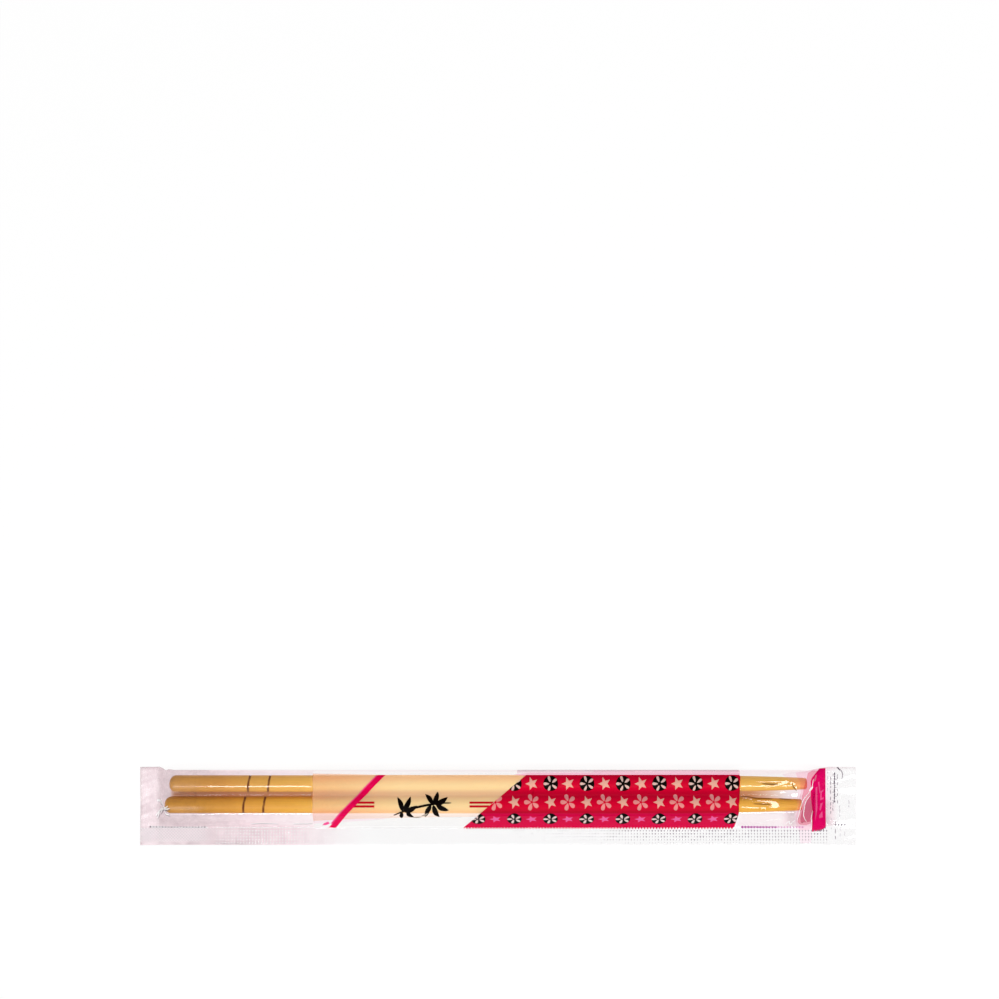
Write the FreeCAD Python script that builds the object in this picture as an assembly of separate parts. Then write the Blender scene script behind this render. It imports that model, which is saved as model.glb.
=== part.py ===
"""Sealed film packet that holds one pair of round bamboo chopsticks.

Frame, in millimetres: X runs from the sticks' heads to their tips, Y from the long
seal to the folded edge, Z up. The packet lies on its flat back, and the origin is
on the surface it lies on, under the middle of the packet's outline.

The film is one piece: a sheet folded lengthwise, welded along its free edges and
across both ends, and drawn over the two sticks that lie side by side in it.
"""

import FreeCAD, Part
import math
import os

from FreeCAD import Vector

# ---- chopsticks ----
stick_length = 200.0
stick_diameter = 5.2
tip_diameter = 3.5
taper_length = 40.0
head_edge_radius = 2.0
tip_chamfer = 0.3
ring_distances = (25.0, 31.3)      # scorched ring grooves, from the head
ring_width = 0.6                   # of the V-shaped groove
ring_depth = 0.15

# ---- how the pair lies in the packet ----
stick_gap = 1.45                   # between the two sticks
front_head_space = 2.4             # head weld to the front stick's head
rear_stick_setback = 1.5           # the rear stick lies this much further on
tip_space = 7.4                    # rear stick's tip to the tip weld

# ---- film ----
film_thickness = 0.12
film_clearance = 0.1               # between the film and a stick
long_seal_width = 5.7
head_seal_width = 6.0
tip_seal_width = 8.7
head_slack = 0.3                   # the film stands this much further off the head
fold_bulge = 1.7                   # the folded edge stands this far off the rear stick
weld_standoff = 4.9                # front stick's side to the long weld
saddle_dip = 0.35                  # sag of the film between the sticks
fold_flare = 0.5                   # the flat ends reach this much further past the fold
weld_slit = 0.1                    # height left inside where the end welds begin
flat_fold_round = 0.5              # depth of the rounded fold where the film lies flat

# ---- worked out ----
stick_radius = stick_diameter / 2
tip_radius = tip_diameter / 2
stick_spacing = stick_diameter + stick_gap
packet_length = (head_seal_width + front_head_space + rear_stick_setback + stick_length
                 + tip_space + tip_seal_width)
middle_width = fold_bulge + stick_diameter + stick_spacing + weld_standoff + long_seal_width
packet_width = middle_width + fold_flare

head_weld_x = -packet_length / 2 + head_seal_width
tip_weld_x = packet_length / 2 - tip_seal_width
front_head_x = head_weld_x + front_head_space
rear_head_x = front_head_x + rear_stick_setback

fold_y = packet_width / 2 - fold_flare
rear_y = fold_y - fold_bulge - stick_radius
front_y = rear_y - stick_spacing
weld_y = front_y - stick_radius - weld_standoff
flat_fold_y = packet_width / 2

axis_z = film_thickness + film_clearance + stick_radius
seal_thickness = 2 * film_thickness


# ---------------------------------------------------------------- chopsticks

def taper_drop(distance, length, drop):
    """How far a tangent arc that falls by drop over length has fallen at distance"""
    arc_radius = (length ** 2 + drop ** 2) / (2 * drop)
    return arc_radius - math.sqrt(arc_radius ** 2 - distance ** 2)


def radius_at(distance):
    """A stick's radius at a distance from its head, without its rounded ends"""
    into_taper = distance - (stick_length - taper_length)
    if into_taper <= 0:
        return stick_radius
    return stick_radius - taper_drop(min(into_taper, taper_length), taper_length,
                                     stick_radius - tip_radius)


def stick_edges():
    """Half outline of a stick in the XY plane, from the centre of its head to its tip"""
    head_flat = stick_radius - head_edge_radius
    slant = head_edge_radius * math.sqrt(0.5)
    head = [Vector(0, head_flat, 0),
            Vector(head_edge_radius - slant, head_flat + slant, 0),
            Vector(head_edge_radius, stick_radius, 0)]
    taper_start = stick_length - taper_length
    tip_edge = stick_length - tip_chamfer
    taper = [Vector(x, radius_at(x), 0)
             for x in (taper_start, (taper_start + tip_edge) / 2, tip_edge)]

    shaft = [head[2]]
    for ring_x in ring_distances:
        shaft += [Vector(ring_x - ring_width / 2, stick_radius, 0),
                  Vector(ring_x, stick_radius - ring_depth, 0),
                  Vector(ring_x + ring_width / 2, stick_radius, 0)]
    shaft.append(taper[0])
    end = [taper[2], Vector(stick_length, taper[2].y - tip_chamfer, 0),
           Vector(stick_length, 0, 0), Vector(0, 0, 0), head[0]]
    edges = [Part.Arc(*head).toShape(), Part.Arc(*taper).toShape()]
    for run in (shaft, end):
        edges += [Part.makeLine(start, stop) for start, stop in zip(run, run[1:])]
    return Part.__sortEdges__(edges)


def chopstick(head_x, y):
    """One stick, turned about its own axis, with its head at head_x"""
    face = Part.Face(Part.Wire(stick_edges()))
    stick = face.revolve(Vector(0, 0, 0), Vector(1, 0, 0), 360)
    stick.translate(Vector(head_x, y, axis_z))
    return stick


# ---------------------------------------------------------------------- film

def filled_lines(x, inset):
    """Film lines (y, z) where the packet is filled: the fold line, from the surface under
    the rear stick round the folded edge to that stick's top, and the crown line, from
    there over the front stick and down to the long weld. inset is 0 for the film's outer
    side and its thickness for its inner side."""
    skin = film_clearance + film_thickness - inset
    rear_r = radius_at(x - rear_head_x) + skin
    front_r = radius_at(x - front_head_x) + skin
    rear_top = axis_z + rear_r
    front_top = axis_z + front_r
    fold = half_ellipse(rear_y, fold_y - inset - rear_y, inset, rear_top)

    crown = [(rear_y, rear_top)]
    for share in (0.25, 0.5, 0.75):
        dip = saddle_dip * (1 - math.cos(2 * math.pi * share)) / 2
        crown.append((rear_y - stick_spacing * share,
                      rear_top + (front_top - rear_top) * share - dip))
    weld = (weld_y + inset / 2, seal_thickness - inset)
    across = front_y - weld[0]
    up = axis_z - weld[1]
    slope = math.atan2(up, across) + math.asin(front_r / math.hypot(across, up))
    for share in (0, 1 / 3, 2 / 3, 1):
        angle = slope * share
        crown.append((front_y - front_r * math.sin(angle), axis_z + front_r * math.cos(angle)))
    shoulder = crown[-1]
    crown.append(((shoulder[0] + weld[0]) / 2, (shoulder[1] + weld[1]) / 2))
    crown.append(weld)
    return fold, crown


def half_ellipse(y, bulge, bottom, top):
    """Points from (y, bottom) to (y, top), bulging towards the folded edge"""
    half_height = (top - bottom) / 2
    return [(y + bulge * math.cos(math.radians(a)),
             bottom + half_height * (1 + math.sin(math.radians(a)))) for a in range(-90, 91, 30)]


def shares_along(line):
    """Each point's share of the line's length"""
    lengths = [0.0]
    for before, after in zip(line, line[1:]):
        lengths.append(lengths[-1] + math.dist(before, after))
    return [length / lengths[-1] for length in lengths]


FOLD_SHARES, CROWN_SHARES = [shares_along(line) for line in filled_lines(0, 0)]


def flat_lines(inset):
    """The same lines where the film lies flat, beside an end weld"""
    top = seal_thickness + weld_slit - inset
    start_y = flat_fold_y - flat_fold_round
    fold = half_ellipse(start_y, flat_fold_round - inset, inset, top)
    weld = (weld_y + inset / 2, seal_thickness - inset)
    crown = [(start_y + (weld[0] - start_y) * share, top) for share in CROWN_SHARES[:-1]]
    return fold, crown + [weld]


def blend(flat, filled, fullness):
    """Line between the flat and the filled one"""
    return [(a[0] + (b[0] - a[0]) * fullness, a[1] + (b[1] - a[1]) * fullness)
            for a, b in zip(flat, filled)]


def smooth_edge(x, line, shares):
    """Spline through a line's points at x"""
    curve = Part.BSplineCurve()
    curve.interpolate(Points=[Vector(x, y, z) for y, z in line], Parameters=shares)
    return curve.toShape()


def film_section(x, fullness, inset):
    """Closed outline of the film at x, from flat (fullness 0) to filled (1)"""
    fold, crown = [blend(flat, filled, fullness)
                   for flat, filled in zip(flat_lines(inset), filled_lines(x, inset))]
    edges = [smooth_edge(x, fold, FOLD_SHARES), smooth_edge(x, crown, CROWN_SHARES)]
    corners = [Vector(x, *crown[-1])]
    if inset == 0:
        outer_y = -packet_width / 2
        corners += [Vector(x, outer_y, seal_thickness), Vector(x, outer_y, 0)]
    corners.append(Vector(x, *fold[0]))
    for start, end in zip(corners, corners[1:]):
        edges.append(Part.makeLine(start, end))
    return Part.Wire(edges)


def film_stations():
    """(x, fullness) along the packet. At the heads the film runs straight from the weld
    to the front stick's rounded edge and follows it, and past the tips it runs straight
    down to the weld."""
    skin = film_clearance + film_thickness
    flat_top = seal_thickness + weld_slit
    rise = axis_z + stick_radius + skin - flat_top
    edge_r = head_edge_radius + skin
    edge_x = front_head_x + head_edge_radius - head_slack
    edge_z = axis_z + stick_radius - head_edge_radius
    across = edge_x - head_weld_x
    up = edge_z - flat_top
    climb = math.degrees(math.atan2(up, across) + math.asin(edge_r / math.hypot(across, up)))

    stations = [(head_weld_x, 0.0)]
    for share in (0, 1 / 3, 2 / 3, 1):
        angle = math.radians(90 + climb * (1 - share))
        height = edge_z + edge_r * math.sin(angle) - flat_top
        stations.append((edge_x + edge_r * math.cos(angle), height / rise))
    taper_x = front_head_x + stick_length - taper_length
    rear_tip_x = rear_head_x + stick_length + film_clearance + film_thickness
    taper_steps = 5
    for step in range(taper_steps + 1):
        stations.append((taper_x + (rear_tip_x - taper_x) * step / taper_steps, 1.0))
    stations.append((tip_weld_x, 0.0))
    return stations


def film_loft(inset):
    """The packet between its end welds, as the solid inside its outer or inner side"""
    middle_x = (head_weld_x + tip_weld_x) / 2
    wires = []
    for x, fullness in film_stations():
        shift = inset if x < middle_x else -inset
        wires.append(film_section(x + shift, fullness, inset))
    return Part.makeLoft(wires, True, True)


def end_seal(low_x, high_x):
    """Flat welded strip across one end"""
    return Part.makeBox(high_x - low_x, packet_width, seal_thickness,
                        Vector(low_x, -packet_width / 2, 0))


def film_sleeve():
    """The film: filled middle and long seal, both end seals, less the space inside"""
    skin = film_loft(0)
    skin = skin.fuse([end_seal(-packet_length / 2, head_weld_x),
                      end_seal(tip_weld_x, packet_length / 2)])
    return skin.cut(film_loft(film_thickness)).removeSplitter()


def main():
    nodes = {
        "chopstick_front": chopstick(front_head_x, front_y),
        "chopstick_rear": chopstick(rear_head_x, rear_y),
        "film_sleeve": film_sleeve(),
    }
    os.makedirs("parts", exist_ok=True)
    for name, shape in nodes.items():
        shape.exportStep(f"parts/{name}.step")
        box = shape.BoundBox
        print(f"{name}: solids {len(shape.Solids)}, valid {shape.isValid()}, "
              f"volume {shape.Volume:.1f} mm3, "
              f"size {box.XLength:.2f} x {box.YLength:.2f} x {box.ZLength:.2f} mm")


main()
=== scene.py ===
"""Looks of a sealed film packet that holds one pair of round bamboo chopsticks.

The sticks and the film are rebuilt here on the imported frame: lathe-turned bamboo, and a
bag of clear crimped film. The print is no sheet of its own: the film's front panel is cut
into triangles along the outline of every patch of ink, and each triangle takes its ink.
Lengths are in millimetres, and become metres where a mesh is made.

On the film, u runs along the packet and t across it from the fold, along the film:
the tube ends at the long weld, at TUBE_HALF, and the seal beyond it at FLAT_WIDTH.
"""

from math import atan, cos, hypot, pi, radians, sin, sqrt, tan

import bpy
import numpy as np
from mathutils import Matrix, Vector, geometry


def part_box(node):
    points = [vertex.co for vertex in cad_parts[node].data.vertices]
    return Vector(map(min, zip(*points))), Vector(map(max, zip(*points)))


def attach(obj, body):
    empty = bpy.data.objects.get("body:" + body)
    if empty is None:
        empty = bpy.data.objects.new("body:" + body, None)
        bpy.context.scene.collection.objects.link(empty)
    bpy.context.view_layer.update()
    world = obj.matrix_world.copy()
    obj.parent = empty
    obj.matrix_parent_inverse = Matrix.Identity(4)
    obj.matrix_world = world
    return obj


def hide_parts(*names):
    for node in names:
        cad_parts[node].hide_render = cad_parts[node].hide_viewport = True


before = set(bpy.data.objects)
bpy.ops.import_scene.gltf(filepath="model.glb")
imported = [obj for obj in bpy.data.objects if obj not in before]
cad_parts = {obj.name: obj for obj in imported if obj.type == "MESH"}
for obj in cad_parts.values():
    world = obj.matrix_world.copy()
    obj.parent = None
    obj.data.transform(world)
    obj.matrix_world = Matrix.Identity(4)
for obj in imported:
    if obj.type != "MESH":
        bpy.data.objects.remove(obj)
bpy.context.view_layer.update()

MM = 0.001

# ------------------------------ sizes, mm
PACKET_LOW, PACKET_HIGH = [np.array(corner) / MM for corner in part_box("film_sleeve")]
HALF_LENGTH = (PACKET_HIGH[0] - PACKET_LOW[0]) / 2

HEAD_SEAL = 6.0             # widths of the three welds
TIP_SEAL = 8.7
LONG_SEAL = 5.7
TUBE_HALF = 19.4
FLAT_WIDTH = TUBE_HALF + LONG_SEAL
FOLD_BULGE = 1.7            # fold to rear stick, where the packet is filled
FOLD_FLARE = 0.5            # how much further out the fold is where the film lies flat
VALLEY_SLOPE = 0.52         # of the film's sag between the sticks
SHOULDER_FALL = 0.03        # slope of the film outside the front stick's crown
FILM_GAP = 0.08             # between the welded layers
FLOOR_GAP = 0.03
FILM_CLEARANCE = 0.12       # between the film and a stick
VIEW_TILT = radians(12)     # the camera looks straight down beside the packet
CAMERA_HEIGHT = 455.6
PRINT_SEEN = (9.62, -7)     # how far up the packet the camera sees the print's top and foot

TIP_RADIUS = 1.75
TAPER_LENGTH = 40
HEAD_EDGE = 2               # rounding of a stick's head and of its tip
TIP_EDGE = 0.25
RINGS = (25, 31.3)          # from a stick's head
RING_WIDTH = 0.6
RING_DEPTH = 0.15
RING_SLANT = 0.11           # the rings are cut a little askew

CRIMP = 0.95                # pitch of the knurled dots in the welds
CRIMP_ROW = 0.7125          # and of their rows
DOT_RADIUS = 0.36
DOT_HEIGHT = 0.06
SEAL_ROWS = 24              # rows of the film's mesh across the long weld


class Stick:
    """Axis, ends and radius of one stick, read from its CAD box"""

    def __init__(self, node):
        low, high = [np.array(corner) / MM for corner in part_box(node)]
        self.node = node
        self.head, self.tip = low[0], high[0]
        self.y = (low[1] + high[1]) / 2
        self.z = (low[2] + high[2]) / 2
        self.radius = (high[2] - low[2]) / 2

    def radius_at(self, x):
        """Radius without the rounded ends"""
        into = np.clip(x - (self.tip - TAPER_LENGTH), 0, TAPER_LENGTH)
        drop = self.radius - TIP_RADIUS
        arc = (TAPER_LENGTH ** 2 + drop ** 2) / (2 * drop)
        return self.radius - (arc - np.sqrt(arc ** 2 - into ** 2))

    def end_rounding(self, x):
        into = np.clip(HEAD_EDGE - (x - self.head), 0, HEAD_EDGE)
        return HEAD_EDGE - np.sqrt(HEAD_EDGE ** 2 - into ** 2)


FRONT = Stick("chopstick_front")
REAR = Stick("chopstick_rear")
HEAD_WELD_X = -HALF_LENGTH + HEAD_SEAL
WELD_Y = PACKET_LOW[1] + LONG_SEAL
TIP_WELD_X = HALF_LENGTH - TIP_SEAL


# ------------------------------ small tools
def soft_min(a, b, width):
    share = np.clip(0.5 + 0.5 * (b - a) / width, 0, 1)
    return b * (1 - share) + a * share - width * share * (1 - share)


def soft_max(a, b, width):
    return -soft_min(-a, -b, width)


def ramp(x, low, high):
    """0 below low, 1 above high, smooth between; low may be the larger"""
    s = np.clip((x - low) / (high - low), 0, 1)
    return s * s * (3 - 2 * s)


def waves(x, seed, length, count=6):
    """A wandering line between about -1 and 1"""
    rng = np.random.default_rng(seed)
    total = np.zeros_like(np.asarray(x, float))
    for _ in range(count):
        period = length * rng.uniform(0.5, 2)
        total += rng.uniform(0.4, 1) * np.sin(2 * pi * x / period + rng.uniform(0, 6.3))
    return total / count * 1.6


def polar(u, t, radius, angle, aside=0):
    """The point this far from u, t at an angle in degrees, and this far to the left of that line"""
    c, s = cos(radians(angle)), sin(radians(angle))
    return u + radius * c - aside * s, t + radius * s + aside * c


def facets(u, t, seed, size, count=5, stretch=1):
    """Crumpled foil: flat facets between sharp creases, from 0 to 1"""
    rng = np.random.default_rng(seed)
    total = np.zeros_like(u)
    for _ in range(count):
        angle = rng.uniform(0, pi)
        period = size * rng.uniform(0.7, 1.8)
        phase = (u * cos(angle) / stretch + t * sin(angle)) / period + rng.uniform(0, 1)
        total += np.abs(2 * (phase - np.floor(phase)) - 1)
    return total / count


def strokes(u, t, lines):
    """Creases: each line is (u1, t1, u2, t2, width, height)"""
    total = np.zeros_like(u)
    for u1, t1, u2, t2, width, height in lines:
        du, dt = u2 - u1, t2 - t1
        length2 = du * du + dt * dt
        s = ((u - u1) * du + (t - t1) * dt) / length2
        off = np.abs((u - u1) * dt - (t - t1) * du) / sqrt(length2)
        beyond = np.clip(np.abs(s - 0.5) - 0.5, 0, None) * sqrt(length2)
        fade = np.clip(1 - np.abs(2 * s - 1) ** 3, 0, 1)
        total += height * fade * np.exp(-np.hypot(off, beyond) / width)
    return total


# ------------------------------ the film's shape
def drape(stick, x):
    """Height of the film on a stick's line, straight from it to the end welds"""
    along = np.linspace(stick.head, stick.tip, 800)
    tops = stick.z + stick.radius_at(along) - stick.end_rounding(along) + FILM_CLEARANCE
    head_slope = np.max((tops - FILM_GAP) / (along - HEAD_WELD_X))
    tip_slope = np.max((tops - FILM_GAP) / (TIP_WELD_X - along))
    crown = stick.z + stick.radius_at(x) + FILM_CLEARANCE
    tent = np.minimum(head_slope * (x - HEAD_WELD_X), tip_slope * (TIP_WELD_X - x))
    return np.maximum(FILM_GAP, soft_min(crown, FILM_GAP + tent, 0.25))


def film_loop(x, front_height, rear_height):
    """Closed section of the tube, from the long weld over the sticks and back under them"""
    front_r = FRONT.radius_at(x) + FILM_CLEARANCE
    rear_r = REAR.radius_at(x) + FILM_CLEARANCE
    front_crown, rear_crown = FRONT.z + front_r, REAR.z + rear_r
    front_scale, rear_scale = front_height / front_crown, rear_height / rear_crown

    y = np.linspace(WELD_Y, REAR.y, 260)
    out = np.clip(FRONT.y - y, 0, None)
    shoulder = front_crown - SHOULDER_FALL * out * out / (out + 0.6)
    corner = 0.98 * front_r
    corner_z = front_crown - SHOULDER_FALL * corner * corner / (corner + 0.6)
    rise = FLOOR_GAP + (corner_z - FLOOR_GAP) * (y - WELD_Y) / (FRONT.y - corner - WELD_Y)
    outer = soft_min(shoulder, rise, 0.2)
    hugs = []
    for stick, r in ((FRONT, front_r), (REAR, rear_r)):
        off = np.abs(y - stick.y)
        leave = r * sin(atan(VALLEY_SLOPE))
        arc_z = stick.z + np.sqrt(np.clip(r * r - off * off, 0, None))
        line_z = stick.z + sqrt(r * r - leave * leave) - VALLEY_SLOPE * (off - leave)
        hugs.append(np.where(off < leave, arc_z, line_z))
    inner = soft_max(hugs[0], hugs[1], 0.12)
    z = np.where(y < FRONT.y, outer, inner)

    turn = np.linspace(0, pi, 60)[1:]
    half = (rear_crown - FLOOR_GAP) / 2
    fold_reach = REAR.radius + FOLD_BULGE + FOLD_FLARE * (1 - rear_scale)
    fold_y = REAR.y + fold_reach * np.sin(turn)
    fold_z = FLOOR_GAP + half + half * np.cos(turn)
    y = np.concatenate([y, fold_y, [WELD_Y]])
    z = np.concatenate([z, fold_z, [FLOOR_GAP]])

    scale = front_scale + (rear_scale - front_scale) * ramp(y, FRONT.y, REAR.y)
    z = FLOOR_GAP + (z - FLOOR_GAP) * scale
    arc = np.concatenate([[0], np.cumsum(np.hypot(np.diff(y), np.diff(z)))])
    return y, z, arc * 2 * TUBE_HALF / arc[-1]


def spaced(low, high, steps, samples=20000):
    """From low to high, with steps that follow (place, step) pairs"""
    places, widths = zip(*steps)
    fine = np.linspace(low, high, samples)
    parts = (high - low) / (samples - 1) / np.interp(fine[1:], places, widths)
    count = np.concatenate([[0], np.cumsum(parts)])
    return np.interp(np.linspace(0, count[-1], round(count[-1]) + 1), count, fine)


STEP = 2 * HALF_LENGTH / (3 * round(2 * HALF_LENGTH / CRIMP))
columns = np.linspace(-HALF_LENGTH, HALF_LENGTH, round(2 * HALF_LENGTH / STEP) + 1)
# rows across the tube, closest over the rear stick's crown
tube_t = spaced(0, TUBE_HALF, ((0, 0.4), (2.6, 0.34), (3.1, 0.13), (4.9, 0.13), (5.3, 0.34),
                               (TUBE_HALF, 0.42)))
front_t = np.concatenate([tube_t, TUBE_HALF + LONG_SEAL / SEAL_ROWS * np.arange(1, SEAL_ROWS + 1)])
TUBE_ROWS = len(tube_t) - 1
back_rows = sorted(set(range(0, TUBE_ROWS, 5)) | set(range(TUBE_ROWS, TUBE_ROWS + SEAL_ROWS + 1, 3)))
back_t = front_t[back_rows]

front_y = np.zeros((len(columns), len(front_t)))
front_z = np.zeros_like(front_y)
back_y = np.zeros((len(columns), len(back_t)))
back_z = np.zeros_like(back_y)
front_heights, rear_heights = drape(FRONT, columns), drape(REAR, columns)
for i, x in enumerate(columns):
    loop_y, loop_z, arc = film_loop(x, front_heights[i], rear_heights[i])
    for t_list, side, ys, zs in ((front_t, -1, front_y, front_z), (back_t, 1, back_y, back_z)):
        place = TUBE_HALF + side * np.minimum(t_list, TUBE_HALF)
        ys[i] = np.interp(place, arc, loop_y) - np.clip(t_list - TUBE_HALF, 0, None)
        zs[i] = np.interp(place, arc, loop_z)

U, T = np.meshgrid(columns, front_t, indexing="ij")
BACK_U, BACK_T = np.meshgrid(columns, back_t, indexing="ij")

mid = len(columns) // 2
SEEN = front_y[mid] - front_z[mid] * tan(VIEW_TILT)
FRONT_T, REAR_T = [float(np.interp(-stick.y, -front_y[mid], front_t)) for stick in (FRONT, REAR)]


def t_seen(height):
    """Where on the film a point lies that the camera sees this far up the packet, in mm
    from the floor line under the middle of the packet"""
    return float(np.interp(-height, -SEEN, front_t))


def slant(top, bottom, t):
    """Place along the packet of a line that looks straight to the camera, from its place at
    the top of the print to its place at the foot of it"""
    high, low = PRINT_SEEN
    return top + (bottom - top) * (high - np.interp(t, front_t, SEEN)) / (high - low)


# ------------------------------ creases and crimp
def knurl(u, t):
    """Raised dots of the crimping jaws in the three welds"""
    du = (u + HALF_LENGTH) / CRIMP
    dt = (t - TUBE_HALF) / CRIMP_ROW
    du = du - np.where(u < -20, (np.floor(dt) % 2) / 3, 0)      # every other row is shifted
    off = np.hypot((du - np.floor(du) - 1 / 3) * CRIMP, (dt - np.floor(dt) - 1 / 3) * CRIMP_ROW)
    dots = np.clip(1 - off / DOT_RADIUS, 0, 1)
    welded = (u < HEAD_WELD_X - 0.2) | (u > TIP_WELD_X + 0.2) | (t > TUBE_HALF + 0.1)
    edge = (np.abs(u) > HALF_LENGTH - 0.3) | (t > FLAT_WIDTH - 0.2)
    return np.where(welded & ~edge, dots, 0)


def fan(seed, u, t, reach, first, last, count, width, height):
    """Creases that run out from one point, as where a stick's end props the film up"""
    rng = np.random.default_rng(seed)
    lines = []
    for k in range(count):
        angle = first + (last - first) * (k + rng.uniform(0.2, 0.8)) / count
        start, length = rng.uniform(0.2, 1.6), reach * rng.uniform(0.5, 1.1)
        lines.append((*polar(u, t, start, angle), *polar(u, t, length, angle),
                      width * rng.uniform(0.6, 1.3), height * rng.uniform(0.5, 1.2)))
    return lines


def puckers(seed, low, high, t, reach, count, width, height):
    """Short creases that run from the long weld up into the film"""
    rng = np.random.default_rng(seed)
    lines = []
    for _ in range(count):
        u, lean, length = rng.uniform(low, high), rng.uniform(-1.6, 1.6), reach * rng.uniform(0.4, 1)
        lines.append((u, t, u + lean, t - length, width * rng.uniform(0.6, 1.4),
                      height * rng.uniform(0.4, 1)))
    return lines


CREASES = (
    fan(3, FRONT.head + 1.2, FRONT_T, 5.5, 95, 265, 8, 0.3, 0.34)
    + fan(5, REAR.head + 1.2, REAR_T, 6, 100, 250, 7, 0.3, 0.3)
    + fan(7, FRONT.tip + 1, FRONT_T, 7, -60, 75, 7, 0.35, 0.4)
    + fan(11, REAR.tip + 1, REAR_T, 6, -60, 60, 6, 0.35, 0.36)
    + puckers(13, -106, -62, TUBE_HALF, 4.5, 16, 0.35, 0.16)
    + puckers(17, 76, 103, TUBE_HALF, 5.5, 12, 0.35, 0.22)
    + [
        # a sharp ridge on the rear stick
        (REAR.head + 0.6, REAR_T + 0.3, -90.5, REAR_T + 0.3, 0.2, 0.05),
        # long shallow creases beside the long weld, at the heads
        (-97, TUBE_HALF - 1.6, -81, TUBE_HALF - 1, 0.3, 0.22),
        (-93, TUBE_HALF - 0.7, -74, TUBE_HALF - 0.5, 0.25, 0.16),
        (-70, TUBE_HALF - 1.3, -61, TUBE_HALF - 1, 0.25, 0.2),
        # crossed creases in front of the heads
        (-108, FRONT_T - 0.8, -103.8, FRONT_T + 3.6, 0.26, 0.4),
        (-107.6, FRONT_T + 3.2, -103.4, FRONT_T - 1.4, 0.26, 0.36),
        (-106, FRONT_T - 1.6, -105.4, FRONT_T + 4.6, 0.24, 0.3),
        # across the film before the tear band
        (95.5, 1.5, 99, 8.5, 0.4, 0.4),
        (99, 8, 96, 15, 0.4, 0.36),
        (94, 18.6, 99.5, 11.5, 0.35, 0.4),
        (91, 17.8, 98, 16, 0.35, 0.3),
    ])


def over(stick, u, y):
    """1 over a stick, where the film is tight, and 0 beside it"""
    return (np.exp(-((y - stick.y) / 2.3) ** 4) * ramp(u, stick.head - 1.5, stick.head + 1)
            * ramp(u, stick.tip + 2, stick.tip - 1))


def crinkle(u, t, y):
    """How far the film stands out from its drape"""
    heads, tips = ramp(u, -76, -104), ramp(u, 74, 96)
    middle = ramp(u, HEAD_WELD_X, HEAD_WELD_X + 3) * ramp(u, TIP_WELD_X, TIP_WELD_X - 2)
    tube = ramp(t, 0, 1.2) * ramp(t, TUBE_HALF, TUBE_HALF - 0.8)
    slack = 1 - 0.93 * np.maximum(over(FRONT, u, y), over(REAR, u, y))
    crumple = facets(u, t, 21, 7, 5, 1.4) * (0.1 + 0.75 * heads + 0.95 * tips) * slack
    crumple += facets(u, t, 23, 3, 4, 1.2) * (0.02 + 0.22 * heads + 0.3 * tips) * slack
    crumple += facets(u, t, 29, 9, 4, 3) * tips * 0.12
    return tube * middle * (0.6 * crumple + strokes(u, t, CREASES))


# places where the film is pulled flat and shines; those of a group lie in one plane:
# stick, then u, y from its axis, half length, half width and angle of each
FLATS = (
    (REAR, (84.7, 1.08, 5.1, 0.26, 2), (89.9, 1.1, 1.3, 0.4, -4), (87.1, -0.1, 2.9, 0.26, 14),
     (88.7, 0.35, 1.3, 0.42, 14), (92, 0.8, 0.9, 0.32, -18), (92.85, 0.1, 0.65, 0.32, -73)),
    (REAR, (93.4, -0.8, 0.7, 0.34, -46), (94.2, -1.35, 0.65, 0.42, -16)),
    (FRONT, (93, 3.23, 1.1, 0.7, 8)), (FRONT, (89.3, 4.15, 0.9, 0.4, 0)),
    (FRONT, (76.9, 2.4, 0.24, 0.4, 0)), (FRONT, (77.7, 2.38, 0.24, 0.4, 0)),
    (FRONT, (78.5, 2.16, 0.24, 0.4, 0)), (FRONT, (79.3, 2.12, 0.24, 0.4, 0)),
    (FRONT, (80.1, 1.92, 0.3, 0.4, 0)), (FRONT, (81.5, -0.45, 4.6, 0.24, -1)),
    (FRONT, (82.1, 1.74, 1.9, 0.34, -5), (84.9, 1.48, 2.5, 0.5, -5), (86.8, 0.45, 1.1, 1.15, 0),
     (85.6, -0.45, 1.3, 0.26, 0)))
FLAT_RISE_U, FLAT_RISE_Y = -0.01, 0.13   # slopes that mirror the key lamp to the camera


def stick_top(stick, u, y):
    r = stick.radius_at(u)
    return stick.z + np.sqrt(np.clip(r * r - (y - stick.y) ** 2, 0, None)) * (u < stick.tip)


def turned(du, dv, angle):
    turn = radians(angle)
    return du * cos(turn) + dv * sin(turn), dv * cos(turn) - du * sin(turn)


def pull_flat(u, y, z, heights):
    """Film drawn into small flat facets that lean towards the key lamp"""
    for (stick, *parts), height in zip(FLATS, heights):
        share = np.zeros(len(u))
        for flat_u, flat_v, length, width, angle in parts:
            near = np.nonzero(np.hypot(u - flat_u, y - stick.y - flat_v) < 1.5 * max(length, width))[0]
            along, across = turned(u[near] - flat_u, y[near] - stick.y - flat_v, angle)
            off = np.hypot(along / length, across / width)
            share[near] = np.maximum(share[near], ramp(off, 1.4, 1))
        plane = height + FLAT_RISE_Y * (y - stick.y) + FLAT_RISE_U * u
        z += share * (plane - z)
    return z


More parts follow.
